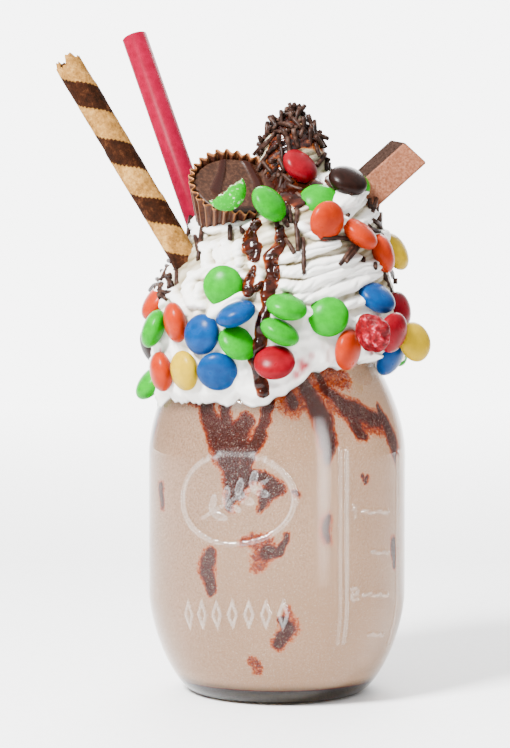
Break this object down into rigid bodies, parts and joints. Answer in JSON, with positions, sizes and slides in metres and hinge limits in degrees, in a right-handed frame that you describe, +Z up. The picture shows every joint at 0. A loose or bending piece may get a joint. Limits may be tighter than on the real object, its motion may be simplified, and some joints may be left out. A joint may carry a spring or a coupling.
{
  "type": "milkshake in a glass jar",
  "caption": "Milkshake in a round glass canning jar, heaped with whipped cream, sugar-shelled chocolate buttons, a chocolate cup, wafers, sauce and a straw.",
  "frame": {"origin": "on the jar's axis at the level it stands on, under the middle of its base", "axes": "+Z up along the jar's axis, -Y towards the side shown in the picture, +X to the right in the picture"},
  "size_m": [0.1165, 0.092, 0.211],
  "materials": {
    "clear_glass": "clear moulded glass, glossy",
    "milkshake": "thick beige pink milkshake, satin",
    "whipped_cream": "soft whipped cream, satin",
    "red_plastic": "glossy red drinking straw",
    "wafer": "tan wafer with brown stripes, dry and matt",
    "milk_chocolate": "milk chocolate, dull satin",
    "brown_paper": "thin greaseproof paper, brown with lighter edges",
    "dark_chocolate": "dark chocolate, satin, glossy where it is sauce",
    "shell_green": "hard sugar shell, semi-gloss",
    "shell_red": "hard sugar shell, semi-gloss",
    "shell_orange": "hard sugar shell, semi-gloss",
    "shell_yellow": "hard sugar shell, semi-gloss",
    "shell_blue": "hard sugar shell, semi-gloss",
    "shell_brown": "hard sugar shell, semi-gloss"
  },
  "bodies": {
    "root": {"broken_button_green": "shell_green", "button_01_yellow": "shell_yellow", "button_02_green": "shell_green", "button_03_blue": "shell_blue", "button_04_green": "shell_green", "button_05_brown": "shell_brown", "button_06_orange": "shell_orange", "button_07_red": "shell_red", "button_08_yellow": "shell_yellow", "button_09_green": "shell_green", "button_10_orange": "shell_orange", "button_11_orange": "shell_orange", "button_12_yellow": "shell_yellow", "button_13_blue": "shell_blue", "button_14_blue": "shell_blue", "button_15_green": "shell_green", "button_16_green": "shell_green", "button_17_blue": "shell_blue", "button_18_green": "shell_green", "button_19_green": "shell_green", "button_20_red": "shell_red", "button_21_green": "shell_green", "button_22_orange": "shell_orange", "button_23_red": "shell_red", "button_24_red": "shell_red", "button_25_blue": "shell_blue", "button_26_orange": "shell_orange", "button_27_orange": "shell_orange", "button_28_green": "shell_green", "button_29_orange": "shell_orange", "button_30_brown": "shell_brown", "button_31_green": "shell_green", "button_32_red": "shell_red", "button_33_green": "shell_green", "button_34_blue": "shell_blue", "button_35_yellow": "shell_yellow", "button_36_red": "shell_red", "button_37_green": "shell_green", "button_38_orange": "shell_orange", "button_39_blue": "shell_blue", "button_40_yellow": "shell_yellow", "button_41_red": "shell_red", "button_42_green": "shell_green", "button_43_blue": "shell_blue", "button_44_brown": "shell_brown", "button_45_orange": "shell_orange", "button_46_green": "shell_green", "chocolate_cup": "dark_chocolate", "jar": "clear_glass", "milkshake": "milkshake", "paper_case": "brown_paper", "straw": "red_plastic", "wafer_finger": "milk_chocolate", "wafer_roll": "wafer", "whipped_cream": "whipped_cream"}
  },
  "joints": []
}
